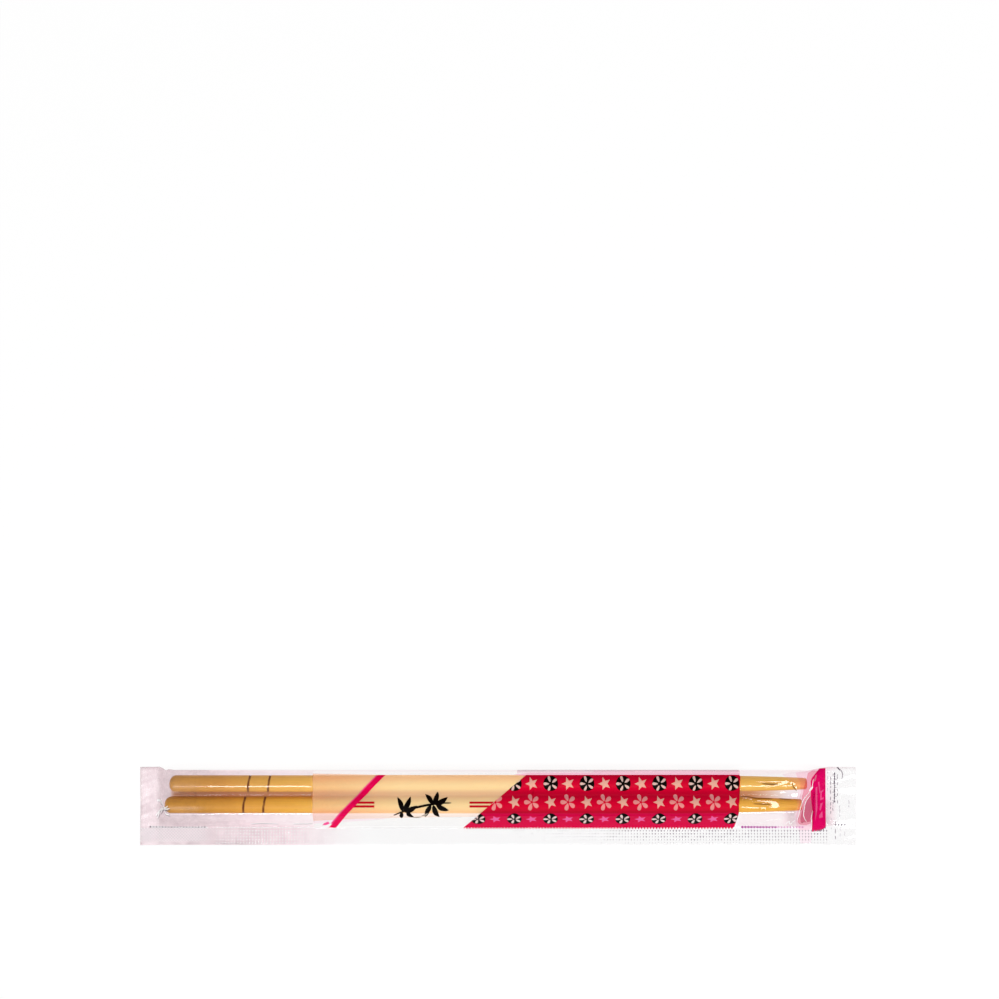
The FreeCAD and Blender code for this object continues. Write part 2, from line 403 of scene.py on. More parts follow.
def lay(u, t, y, z, outward_y, outward_z, top):
    """Adds creases, crimp and the lie of the seals to a panel"""
    if top:
        depth = crinkle(u, t, y)
        y = y + outward_y * depth
        z = z + outward_z * depth + FILM_GAP * np.clip(t, 0, 1)
    fin = np.clip((t - TUBE_HALF) / LONG_SEAL, 0, 1)
    head_flap = np.clip((HEAD_WELD_X - u) / HEAD_SEAL, 0, 1)
    tip_flap = np.clip((u - TIP_WELD_X) / TIP_SEAL, 0, 1)
    lift = fin * (0.22 + 0.2 * waves(u, 31, 34)) + 0.05 * fin * waves(u, 37, 6)
    lift = lift + head_flap * (0.3 + 0.26 * waves(t, 41, 9))
    lift = lift + tip_flap * (0.5 + 0.42 * waves(t, 43, 10))
    lift = lift + 0.05 * (head_flap + tip_flap) * waves(t + 0.4 * u, 47, 3)
    dots = DOT_HEIGHT * knurl(u, t) * ramp(u, HEAD_WELD_X - 2, HEAD_WELD_X + 2)
    return y, z + np.clip(lift, 0, None) + dots


def cross_section_normals(y, z):
    dy, dz = np.gradient(y, axis=1), np.gradient(z, axis=1)
    size = np.maximum(np.hypot(dy, dz), 1e-9)
    return dz / size, -dy / size


out_y, out_z = cross_section_normals(front_y, front_z)
front_y, front_z = lay(U, T, front_y, front_z, out_y, out_z, True)
back_y, back_z = lay(BACK_U, BACK_T, back_y, back_z, 0, 0, False)


def flat_height(stick, *parts):
    """Height of a group's plane, carried on to u = 0 and the stick's axis: on the film, or as
    far above it as clears the stick"""
    heights = []
    for flat_u, flat_v, length, width, angle in parts:
        column = np.argmin(np.abs(columns - flat_u))
        if not heights:
            height = float(np.interp(-(stick.y + flat_v), -front_y[column], front_z[column]))
            heights.append(height - FLAT_RISE_Y * flat_v - FLAT_RISE_U * flat_u)
        spin, reach = np.linspace(0, 2 * pi, 24), np.array([[0], [0.6], [1]])
        du, dv = turned(reach * length * np.cos(spin), reach * width * np.sin(spin), -angle)
        tops = stick_top(stick, flat_u + du, stick.y + flat_v + dv)
        heights.append(float(np.max(tops + 0.07 - FLAT_RISE_Y * (flat_v + dv)
                                    - FLAT_RISE_U * (flat_u + du))))
    return max(heights)


flat_heights = [flat_height(*group) for group in FLATS]


def on_film(u, t):
    """Points of the printed panel, bilinear between its rows and columns"""
    cu = np.clip(np.interp(u, columns, np.arange(len(columns))), 0, len(columns) - 1.0001)
    ct = np.clip(np.interp(t, front_t, np.arange(len(front_t))), 0, len(front_t) - 1.0001)
    i, j = cu.astype(int), ct.astype(int)
    fu, ft = cu - i, ct - j
    found = []
    for grid in (front_y, front_z):
        found.append((grid[i, j] * (1 - ft) + grid[i, j + 1] * ft) * (1 - fu)
                     + (grid[i + 1, j] * (1 - ft) + grid[i + 1, j + 1] * ft) * fu)
    return np.stack([u, found[0], pull_flat(u, found[0], found[1], flat_heights)], axis=1)


# ------------------------------ shapes for the print
def disc(u, t, radius, sides=28):
    return [polar(u, t, radius, 360 * k / sides) for k in range(sides)]


def star(u, t, radius):
    return [polar(u, t, radius if k % 2 == 0 else 0.43 * radius, 180 + 36 * k) for k in range(10)]


def petals(u, t, inner, outer, width):
    """Five teardrops, one towards the heads"""
    shapes = []
    for k in range(5):
        shape = []
        for a in [2 * pi * turn / 14 for turn in range(14)]:
            r = (inner + outer) / 2 - (outer - inner) / 2 * cos(a)
            w = width / 2 * sin(a) * (1 - 0.45 * cos(a))
            shape.append(polar(u, t, r, 180 + 72 * k, w))
        shapes.append(shape)
    return shapes


def leaf(u, t, angle, length, width):
    """Brush stroke that swells and runs out to a point"""
    shape = []
    for side in (1, -1):
        for k in range(9):
            s = k / 9 if side == 1 else 1 - k / 9
            w = side * width / 2 * sin(pi * s ** 0.8) ** 0.8
            bend = 0.06 * length * sin(pi * s)
            shape.append(polar(u, t, s * length, angle, w + bend))
    return shape


def stem(points, width):
    """Thin strip along a smooth line through a few points, pointed at its ends"""
    knots = [points[0], *points, points[-1]]
    steps = 4 if len(points) > 2 else 2
    line = []
    for (u0, t0), (u1, t1), (u2, t2), (u3, t3) in zip(knots, knots[1:], knots[2:], knots[3:]):
        for k in range(steps):
            s = k / steps
            line.append(tuple(((2 * b) + (c - a) * s + (2 * a - 5 * b + 4 * c - d) * s ** 2
                               + (3 * b - a - 3 * c + d) * s ** 3) / 2
                              for a, b, c, d in ((u0, u1, u2, u3), (t0, t1, t2, t3))))
    line.append(points[-1])
    left, right = [], []
    for k, (u, t) in enumerate(line):
        before, after = line[max(k - 1, 0)], line[min(k + 1, len(line) - 1)]
        du, dt = after[0] - before[0], after[1] - before[1]
        size = hypot(du, dt)
        half = width / 2 * (0.25 + 0.85 * sin(pi * (k + 0.4) / (len(line) - 0.2)) ** 0.7)
        left.append((u - half * dt / size, t + half * du / size))
        right.append((u + half * dt / size, t - half * du / size))
    return left + right[::-1]


def strip(line, first, last, left, right):
    """Outline along a slanted line, with an offset to each side of it"""
    steps = np.linspace(first, last, 24)
    return [(line(t) + left, t) for t in steps] + [(line(t) + right, t) for t in steps[::-1]]


def box(left, right, low, high):
    return [(left, low), (right, low), (right, high), (left, high)]


def dash(u, t, half_width, half_length):
    return box(u - half_width, u + half_width, t - half_length, t + half_length)


def taller(outline, share):
    """The same outline, stretched in t about its middle"""
    middle = sum(t for _, t in outline) / len(outline)
    return [(u, middle + share * (t - middle)) for u, t in outline]


def inside(shape, u, t):
    """Which points are in a polygon"""
    found = np.zeros(len(u), bool)
    for (u1, t1), (u2, t2) in zip(shape, shape[1:] + shape[:1]):
        if t1 != t2:
            crosses = (t1 > t) != (t2 > t)
            found ^= crosses & (u < (u2 - u1) * (t - t1) / (t2 - t1) + u1)
    return found


# ------------------------------ the print
(CLEAR, VEIL, RED, STAR, FLOWER, RED_LIT_STAR, DARK_RED, RIBBON, RIBBON_PINK_SHADOW, BLACK, PETAL, LILAC,
 BAND, BAND_MARK_AND_HIGHLIGHT, PURPLE, PINK_HALO, DEEP_PINK_HALO, PALE_DOT, GREY_BURN_AND_SHADE, DARK_DOT, WHITE_HIGHLIGHT,
 PINK_FOLD_HALO, FAINT_DOT, FAINT_PINK_HALO, MID_PINK_HALO, FOLD_SHADE, VEIL_WITH_PAINTED_GLOW, PAINTED_WARM_HALO, GREY_INK,
 UNDER) = range(30)         # UNDER is the unprinted back of the packet

PRINT_TOP, PRINT_BOTTOM = [t_seen(height) for height in PRINT_SEEN]
ROWS = [t_seen(height) for height in (6.84, 1.08, -4.21)]
LINES = [t_seen(height) for height in (0.95, -0.24)]
SPRIG = t_seen(0.3)
VEIL_LEFT, RED_RIGHT, RED_FOOT = -58, 75.9, 74.7
LINE_HALF = 0.31
DISC_PITCH, STAR_PITCH = 11.34, 11.38

# (ink, outline, only within the red field), from the lowest print to the topmost
layers = []


def draw(ink, outline, clipped=False):
    layers.append((ink, outline, clipped))


def draw_stems(ink, *stems):
    for width, *points in stems:
        draw(ink, stem(points, width))


def red_edge(t):
    """The slanted left edge of the red field"""
    return slant(8.85, -11, t)


def ribbon_at(t):
    return slant(-36.5, -52.6, t)


def scallops(first, last, t):
    """An edge that the crimp has bitten: teeth one crimp apart"""
    count = int(abs(last - first) / CRIMP * 2)
    return [(first + (last - first) * (k + 0.5) / count, t + (0.5 if k % 2 else -0.25))
            for k in range(count)]


red_field = ([(red_edge(t), t) for t in np.linspace(PRINT_BOTTOM - 0.2, PRINT_TOP, 24)]
             + [(RED_RIGHT - 0.4, PRINT_TOP), (RED_RIGHT, PRINT_TOP + 0.5),
                (RED_RIGHT - 0.3, ROWS[1]), (RED_FOOT, PRINT_BOTTOM - 0.2)]
             + scallops(RED_FOOT, red_edge(PRINT_BOTTOM), PRINT_BOTTOM))

draw(VEIL, [(VEIL_LEFT, 0.3), (RED_RIGHT, 0.3), (RED_RIGHT - 1, PRINT_BOTTOM),
            (VEIL_LEFT, PRINT_BOTTOM)])
# painted warm and pink halos on the film below the front stick, a coloured shadow of the stick
draw(FAINT_PINK_HALO, [(VEIL_LEFT, 12), (-30, 12), (-36, 15), (-48, 16.6), (VEIL_LEFT, 17.6)])
draw(PAINTED_WARM_HALO, [(VEIL_LEFT, 12), (10, 12), (4, 13.4), (-20, 13.9), (-44, 14.8), (VEIL_LEFT, 16)])
# frosted ink over the sticks, with a painted warm glow of the bamboo through it and painted pink shade
# over the gap
draw(VEIL_WITH_PAINTED_GLOW, [(VEIL_LEFT, 0.35), (-50, 0.45), (-36, 0.75), (12, 0.75), (10, 12.3),
                 (VEIL_LEFT, 12.3)])
for t in LINES:
    draw(DARK_RED, box(ribbon_at(t) + 0.9, -38.6, t - LINE_HALF, t + LINE_HALF))
    draw(DARK_RED, box(-8.9, red_edge(t) + 0.2, t - LINE_HALF, t + LINE_HALF))
# a painted pink shadow of the ribbon, to its left and beside its foot
draw(RIBBON_PINK_SHADOW, strip(ribbon_at, PRINT_TOP + 0.1, PRINT_BOTTOM - 2.2, -1.5, -0.4))
draw(RIBBON_PINK_SHADOW, [(-55.5, 18.5), (-54.7, 17.3), (-53.4, 16.4), (-53, 17.6), (-54.2, 18.4)])
draw(RIBBON, strip(ribbon_at, PRINT_TOP, PRINT_BOTTOM, -0.95, 1.3))
# a painted pink halo between the fold and the red field, the coloured shadow of its ink
draw(PINK_FOLD_HALO, [(5, 0.6), (10, 0.1), (RED_RIGHT, 0.1), (RED_RIGHT - 0.2, PRINT_TOP + 0.3),
                 (8, PRINT_TOP + 0.3)])
draw(RED, red_field)
for k in range(8):
    u = 73.2 - DISC_PITCH * k
    for row, share in ((0, 1), (2, 1.22)):          # the lowest row lies on the slope
        draw(BLACK, taller(disc(u, ROWS[row], 2.3), share), True)
        for shape in petals(u, ROWS[row], 0.5, 2.28, 0.76):
            draw(PETAL, taller(shape, share), True)
    draw(STAR, star(u, ROWS[1], 2), True)
for k in range(7):
    u = 67.5 - STAR_PITCH * k
    draw(STAR, star(u, ROWS[0], 2.05), True)
    for shape in petals(u, ROWS[1], 0.3, 2.45, 1.15):
        draw(FLOWER, shape, True)
    # the lowest row's unprinted stars, painted pink as if lit through the red film
    draw(RED_LIT_STAR, star(u, ROWS[2], 1.9), True)

# a brushed sprig of bamboo: its stem, then the place, angle, length and width of each leaf
sprig_stem = [(u, SPRIG + t) for u, t in (
    (-32.6, 3), (-29.5, 1.9), (-26, 0.9), (-22, 0.1), (-18, -0.4), (-14.6, -0.5))]
draw_stems(BLACK, (0.6, *sprig_stem))
for ink, u, t, angle, length, width in (
        (BLACK, -29.6, 1.9, -62, 4.9, 1.625), (BLACK, -29.8, 1.9, -112, 4.4, 1.495),
        (BLACK, -29.4, 2, -22, 4.6, 1.56), (BLACK, -29.9, 2.1, 96, 2.6, 1.3),
        (BLACK, -28.6, 1.9, 44, 3.4, 1.43), (BLACK, -20.2, -0.1, -70, 4.2, 1.56),
        (BLACK, -20.4, -0.1, -128, 3.9, 1.43), (BLACK, -19.8, 0, -28, 4.7, 1.625),
        (BLACK, -20.3, 0.1, 62, 4.4, 1.625), (BLACK, -20.8, 0.1, 118, 4.3, 1.43),
        (BLACK, -19.4, 0, 22, 4.4, 1.495),
        (GREY_INK, -26.6, 4.2, -8, 3, 0.7), (GREY_INK, -24, 3.4, -24, 2.4, 0.7)):
    draw(ink, leaf(u, SPRIG + t, angle, length, width))

# the tear band, and a painted pink halo beside it, the coloured shadow of its ink on the film
draw(FAINT_PINK_HALO, [
    (89, 0.9), (92.6, 0.1), (96.5, 0.12), (101.6, 0.12), (101.4, 0.9), (99, 4), (99.4, 20.8),
    (98.9, 24.6), (95.6, 24.6), (95.3, 21.2), (94.2, 19.4), (93, 17.6), (92.6, 14), (93.7, 10.5),
    (94.2, 6), (93, 3.4), (90.6, 2)])
draw(PINK_HALO, [
    (93.4, 0.3), (96.5, 0.12), (101.6, 0.12), (101.2, 0.9), (98.6, 3), (99, 19.8), (98.2, 20.6),
    (95.6, 20.4), (94.6, 19), (93.7, 16.6), (93.4, 13.3), (94.3, 10.2), (95, 6.4), (94.6, 3),
    (93.6, 1.6)])
draw(MID_PINK_HALO, [
    (97.2, 0.9), (99, 0.4), (101, 0.9), (98.4, 2.8), (98.8, 17.6), (97.4, 18.3), (95.4, 17.9),
    (94.2, 16.4), (94.2, 12.9), (95.1, 9.8), (95.6, 7), (95.9, 4.4), (96.6, 2.4)])
draw(DEEP_PINK_HALO, [
    (98.4, 8), (97.3, 9.2), (96, 10.8), (95.2, 12.2), (94.9, 14.6), (95.2, 16.4), (97, 17.1),
    (98.9, 16.9), (98.9, 12), (98.8, 9.2)])
draw(BAND, [
    (101.5, 0.1), (103.5, 0.3), (103.5, 9), (103.7, 19.6), (102.8, 20.2), (101.6, 20.7), (99.3, 21),
    (99.1, 17.4), (98.5, 11.7), (98.1, 6.4), (98, 3.4), (98.4, 2.5), (99.9, 1.3)])
draw(DEEP_PINK_HALO, [(99, 3.4), (99.8, 1.9), (100.2, 2), (99.5, 3.8)])
# pale on the band: first a painted highlight along a crease, then pale marks
for shape in ([(99.7, 5.6), (100.3, 5.3), (100.5, 12.5), (100.1, 17), (99.8, 12)],
              [(100.6, 4.2), (101, 4), (101.6, 7.6), (101.3, 7.9)],
              [(101.6, 7.4), (102.7, 7), (102.7, 7.5), (102.1, 7.8), (102, 9.8), (102.8, 9.6),
               (102.7, 10.2), (101.5, 10.4)],
              [(101.5, 11.4), (102.4, 11.2), (101.7, 13.6), (101.3, 13.4)],
              [(101.2, 15.2), (102.3, 13.9), (102.5, 16), (101.4, 16.2)]):
    draw(BAND_MARK_AND_HIGHLIGHT, shape)

# the crimp's dots: a close lattice at the heads, then pale rows, and rows towards the tips
# that turn from faint to grey, where they are burnt through; the smallest dots are left out
LATTICE_RIGHT, PALE_RIGHT, FAINT_LEFT, FAINT_RIGHT, GREY_RIGHT = -89, -46, 4, 34, 104
ROW_SIZES = (0, 0.25, 0.23, 0.22, 0.18, 0.12)
first_dot = -HALF_LENGTH + CRIMP / 3
chance = np.random.default_rng(61)
for k in range(int(2 * HALF_LENGTH / CRIMP)):
    u = first_dot + k * CRIMP
    if u < LATTICE_RIGHT:
        for row in range(10):
            size = 0.215 * ramp(u, -85, -95) * ramp(row, 12, 7)
            if size > 0.06:
                for ink, step in ((PALE_DOT, row % 2), (FAINT_DOT, 1 - row % 2)):
                    draw(ink, disc(u + step * CRIMP / 2, TUBE_HALF + 0.5 + CRIMP / 2 * row, size, 5))
    for row in range(6):
        t = TUBE_HALF + (row + 1 / 3) * CRIMP
        if LATTICE_RIGHT <= u < PALE_RIGHT:
            size = 0.26 * ramp(u, -44, -66) * (0.9 + 0.1 * waves(u + 3 * row, 67, 9))
            if size > 0.08:
                draw(PALE_DOT, disc(u, t, size, 6))
        elif FAINT_LEFT < u < GREY_RIGHT and row:
            size = ROW_SIZES[row] * (0.5 + 0.5 * ramp(u, FAINT_LEFT, 60))
            size *= 0.85 + 0.3 * waves(u + 2 * row, 71, 7) + chance.uniform(-0.12, 0.12)
            faint = u < FAINT_RIGHT or chance.random() < 0.35 * ramp(u, 80, 40)
            share = 0.25 + 0.75 * ramp(u, FAINT_LEFT, FAINT_RIGHT)
            if size > 0.09 and (u > FAINT_RIGHT or chance.random() < share):
                outline = [(u + a, t + 1.3 * b) for a, b in disc(0, 0, size, 6)]
                draw(FAINT_DOT if faint else GREY_BURN_AND_SHADE, outline)
# the weld line's dots: pierced at the heads, purple beside the red, burnt at the tip weld
for k in range(3, 22):
    u, t = first_dot + k * CRIMP, np.interp(k, (3, 8), (19.4, 19.55))
    draw(DARK_DOT if 3 * k % 7 < 4 else GREY_BURN_AND_SHADE, dash(u, t, 0.22, 0.24))
    # with white dashes between them: painted highlights on the crimp
    draw(WHITE_HIGHLIGHT, dash(u + CRIMP / 2, t, 0.24, 0.26))
for k in range(200, 221):
    ink, size = (PURPLE, 0.42) if k < 212 else (LILAC, 0.34)
    draw(ink, taller(disc(first_dot + k * CRIMP, 19.45, size, 8), 1.15))
for k in range(231, 235):
    draw(DARK_DOT if k > 232 else GREY_BURN_AND_SHADE, dash(first_dot + k * CRIMP, 18.7, 0.3, 0.24))
# wandering lines burnt down the tip weld: ink, place, first and last t, gaps, width
for ink, place, first, last, gap, width in (
        (GREY_BURN_AND_SHADE, 105.2, 3.2, 14.6, 0.5, 0.26), (DARK_DOT, 106.4, 1.8, 11.6, 0.1, 0.34),
        (GREY_BURN_AND_SHADE, 107.3, 2.4, 12.4, 1, 0.24), (GREY_BURN_AND_SHADE, 105.9, 11, 14.8, 0.5, 0.24),
        (FAINT_DOT, 104.2, 1.6, 8, 1.2, 0.2), (GREY_BURN_AND_SHADE, 106.7, 17.5, 24.3, 0.7, 0.24),
        (FAINT_DOT, 108.2, 18, 23.6, 1, 0.2), (FAINT_DOT, 109.6, 18.6, 23.6, 1, 0.2),
        (FAINT_DOT, 105.4, 16.4, 21.5, 1, 0.2), (FAINT_DOT, 110.9, 10.6, 12.8, 0.3, 0.3),
        (FAINT_DOT, 108, 12.5, 15.5, 0.4, 0.26)):
    t = first
    while t < last:
        length = chance.uniform(0.5, 1.6)
        middles = [t + s * length for s in (0, 0.5, 1)]
        draw_stems(ink, (width, *[(place + 0.14 * waves(m, 3, 2.2), m) for m in middles]))
        t += length + gap * chance.uniform(0.4, 1.6)
# a ladder of short dashes among them, and two hooks beside the fold
for k in range(7):
    draw(GREY_BURN_AND_SHADE, dash(106.4 + (0.4 if k % 2 else -0.4), 2.6 + 1.4 * k, 0.3, 0.1))
draw_stems(GREY_BURN_AND_SHADE, (0.32, (107.4, 0.5), (108.2, 0.9), (108.8, 1.9), (108.9, 2.9), (108.6, 3.9)))
draw_stems(DARK_DOT, (0.36, (107.1, 0.2), (107.6, 0.4), (108, 1.1)))
# the burnt foot of the tear band
for u, t in ((102.9, 20.2), (102.3, 20.4), (101.6, 20.6), (103.5, 19.7)):
    draw(DARK_DOT, dash(u, t, 0.12, 0.3))
# folds drawn with a painted shadow on one side and a painted highlight on the other: width, then
# points
for width, *points in (
        (0.46, (-108.2, 15.8), (-106.4, 13.5), (-104.9, 11.8), (-103.2, 10)),
        (0.75, (-107.8, 10.8), (-106.6, 10.9), (-105.6, 11.1)),
        (0.4, (-105.8, 11), (-104.8, 11.5), (-104, 12.1), (-102.6, 12.6)),
        (0.36, (-104.7, 11.5), (-103.7, 11), (-102.6, 10.8)),
        (0.3, (-104.9, 11.8), (-105.8, 13.4), (-106.6, 14.8)),
        (0.34, (-106.4, 9.6), (-105.4, 10.8), (-104.8, 11.6)),
        (0.26, (-107.7, 16.6), (-107.2, 15.2), (-106.9, 14.2)),
        (0.3, (-78, 17.5), (-74, 17.3), (-69.5, 17.5)),
        (0.3, (-64.8, 17.3), (-61, 17.5), (-58.6, 17.3))):
    draw_stems(GREY_BURN_AND_SHADE, (0.7 * width, *[(u + 0.3, t + 0.32) for u, t in points]))
    draw_stems(WHITE_HIGHLIGHT, (width, *points))
# painted shade and painted highlights along creases before the tear band and beside it
draw_stems(
    FOLD_SHADE, (0.34, (75.9, 7.5), (78.4, 7.7), (81, 8.2), (83.4, 8.3), (86, 8.5)),
    (0.4, (82.6, 3.4), (84.6, 3.6), (86.4, 3.7), (87.6, 3.6)),
    (0.3, (80, 9.8), (83, 10), (85.4, 10.1)), (0.3, (92.2, 3.6), (92.6, 4.6), (93.6, 5.9)),
    (0.3, (88.2, 8.4), (90, 8.7), (92, 8.8)))
draw_stems(
    WHITE_HIGHLIGHT, (0.24, (98, 6.2), (96.8, 8.2), (95.4, 9.6), (94.3, 12.8), (94.1, 16.4)),
    (0.22, (98.2, 8.4), (96.6, 9.8), (95.9, 11.6), (95.8, 13.8), (97.2, 16.8)),
    (0.2, (98.9, 2.9), (98.6, 4.4), (98.3, 5.6)), (0.2, (98.9, 17.6), (98.6, 15.4), (98.7, 12.8)),
    (0.75, (97.5, 6), (98.1, 5.7), (98.6, 4.9)),
    (0.26, (90.2, 18.2), (91.6, 16.4), (92, 17.6), (93.6, 15.6)),
    (0.24, (81.5, 17.6), (85, 15.8), (88.5, 15.4), (90.3, 14.1)))


def triangulate():
    """The panel's triangles in (u, t), cut along every outline, and the ink of each"""
    flat = [Vector((u, t)) for u in columns for t in front_t]
    # a finer grid where the film is pulled flat
    flat += [Vector((u, t)) for u in np.arange(76.3, 97, STEP / 2) + 0.04
             for t in np.arange(1.2, 11.6, 0.15)]
    edges = []
    for _, outline, _ in layers:
        first = len(flat)
        flat += [Vector(point) for point in outline]
        edges += [(first + k, first + (k + 1) % len(outline)) for k in range(len(outline))]
    points, _, faces, *_ = geometry.delaunay_2d_cdt(flat, edges, [], 0, 1e-5, False)
    points = np.array([tuple(p) for p in points])
    faces = np.array(faces)
    middle = points[faces].mean(axis=1)
    in_red = inside(red_field, middle[:, 0], middle[:, 1])
    order = np.argsort(middle[:, 0])
    ordered = middle[order, 0]
    inks = np.zeros(len(faces), int)
    for ink, outline, clipped in layers:
        low, high = np.min(outline, axis=0), np.max(outline, axis=0)
        index = order[np.searchsorted(ordered, low[0]):np.searchsorted(ordered, high[0], "right")]
        index = index[(middle[index, 1] >= low[1]) & (middle[index, 1] <= high[1])]
        if clipped:
            index = index[in_red[index]]
        hit = inside(outline, middle[index, 0], middle[index, 1])
        inks[index[hit]] = ink
    return points, faces, inks


# ------------------------------ meshes
def make_object(name, verts, faces, location=(0, 0, 0)):
    mesh = bpy.data.meshes.new(name)
    mesh.from_pydata([tuple(v) for v in np.asarray(verts) * MM], [], faces)
    mesh.validate()
    obj = bpy.data.objects.new(name, mesh)
    obj.location = location
    bpy.context.scene.collection.objects.link(obj)
    mesh.shade_smooth()
    return obj


def zipper(first, second):
    """Triangles between two lines of (index, place), both in order of place"""
    faces, a, b = [], 0, 0
    while a < len(first) - 1 or b < len(second) - 1:
        if b == len(second) - 1 or (a < len(first) - 1 and first[a + 1][1] <= second[b + 1][1]):
            faces.append((first[a][0], first[a + 1][0], second[b][0]))
            a += 1
        else:
            faces.append((first[a][0], second[b + 1][0], second[b][0]))
            b += 1
    return [face for face in faces if len(set(face)) == 3]


def tint_and_shade_at(u, t):
    """Tint of the clear film, partly painted shade: greyer towards the heads, and pink at the fold and
    before the tear band as a painted coloured shadow; 1 is pink, 2 a greyish pink
    """
    stops = (-103, -99.6, -93.4, -87.2, -77.8, -68.4, VEIL_LEFT, VEIL_LEFT + 0.3)
    above = np.interp(u, stops, (2, 1.7, 1.5, 1.1, 0.55, 0.35, 0.2, 0))
    below = np.interp(u, stops, (2.1, 2, 1.9, 1.5, 1, 0.7, 0.45, 0))
    tube = above + (below - above) * ramp(t, 4, 13)
    tube += 0.5 * ramp(u, 74.5, 77) * ramp(t, 3, 12) + (0.3 + 1.1 * ramp(t, 10, 13)) * ramp(u, 89, 93)
    tube += (0.9 * ramp(t, 1.4, 0.3)) * np.where((u < VEIL_LEFT) | (u > RED_RIGHT), 1, 0.25)
    tube *= ramp(u, 108, 103)
    seal = np.interp(u, (-100, -70, -62, -50, -42), (1.6, 1.1, 0.8, 0.2, 0))
    seal += 0.9 * ramp(t, FLAT_WIDTH - 0.9, FLAT_WIDTH - 0.4) * ramp(u, -62, -90)
    tint_and_shade = tube + (seal - tube) * ramp(t, TUBE_HALF - 0.8, TUBE_HALF)
    tint_and_shade = tint_and_shade + (1.35 - tint_and_shade) * ramp(u, HEAD_WELD_X, HEAD_WELD_X - 1.5)
    return tint_and_shade + 0.6 * ramp(u, -HALF_LENGTH + 0.9, -HALF_LENGTH + 0.4)


def shade_at(t):
    """Painted shade on the print: how dark it is where the film stands steep or over the gap"""
    places, values = zip((0.8, 0.85), (1.6, 0.7), (2.6, 0.3), (3.5, 0.1), (5.1, 0.15), (6.2, 0.65),
                         (7.2, 0.7), (8, 0.35), (9, 0.1), (10.5, 0.1), (11.4, 0.3), (12, 0.7),
                         (12.9, 0.6), (14, 0.5), (16, 0.5), (17.5, 0.4), (19.4, 0.35))
    return np.interp(t, places, values)


def fold_ink(u, t):
    """A painted pink halo, the coloured shadow of the red print, goes round the fold and fades there
    """
    if not 6 < u < RED_RIGHT or t > 3.6:
        return UNDER
    return FAINT_PINK_HALO if u < 30 or t > 1.5 else PINK_HALO


def build_film():
    points, faces, inks = triangulate()
    verts = on_film(points[:, 0], points[:, 1])
    first, second, third = points[faces].transpose(1, 2, 0)
    area = ((second[0] - first[0]) * (third[1] - first[1])
            - (third[0] - first[0]) * (second[1] - first[1]))
    faces = [tuple(f[::-1]) if a > 0 else tuple(f) for f, a in zip(faces.tolist(), area)]
    inks = inks.tolist()

    def rim(axis, value):
        found = np.nonzero(np.abs(points[:, axis] - value) < 1e-3)[0]
        return found[np.argsort(points[found, 1 - axis])]

    fold, outer = rim(1, 0), rim(1, FLAT_WIDTH)
    count, rows = len(columns), len(back_t)
    assert len(fold) == count and len(outer) == count
    first_back = len(verts)
    back = np.stack([BACK_U[:, 1:], back_y[:, 1:], back_z[:, 1:]], axis=2).reshape(-1, 3)
    verts = np.concatenate([verts, back])

    def under(i, j):
        return int(fold[i]) if j == 0 else first_back + i * (rows - 1) + j - 1

    added, back_inks = [], []
    for i in range(count - 1):
        for j in range(rows - 1):
            added.append((under(i, j), under(i + 1, j), under(i + 1, j + 1), under(i, j + 1)))
            back_inks.append(fold_ink(columns[i], back_t[j]))
        added.append((under(i, rows - 1), under(i + 1, rows - 1), int(outer[i + 1]), int(outer[i])))
        back_inks.append(UNDER)
    for i, value, flip in ((0, -HALF_LENGTH, False), (count - 1, HALF_LENGTH, True)):
        edge = rim(0, value)
        upper = [(int(k), points[k, 1]) for k in edge]
        lower = [(under(i, j), back_t[j]) for j in range(rows)]
        added += [face[::-1] if flip else face for face in zipper(upper, lower)]
    film = make_object("film_packet", verts, faces + added)
    end_inks = [UNDER] * (len(added) - len(back_inks))
    film.data.polygons.foreach_set("material_index", inks + back_inks + end_inks)
    every_u = np.concatenate([points[:, 0], BACK_U[:, 1:].ravel()])
    every_t = np.concatenate([points[:, 1], BACK_T[:, 1:].ravel()])
    for name, values in (("tint_and_shade", tint_and_shade_at(every_u, every_t)), ("shade", shade_at(every_t))):
        attribute = film.data.attributes.new(name, "FLOAT", "POINT")
        attribute.data.foreach_set("value", values.astype(np.float32))
    return film


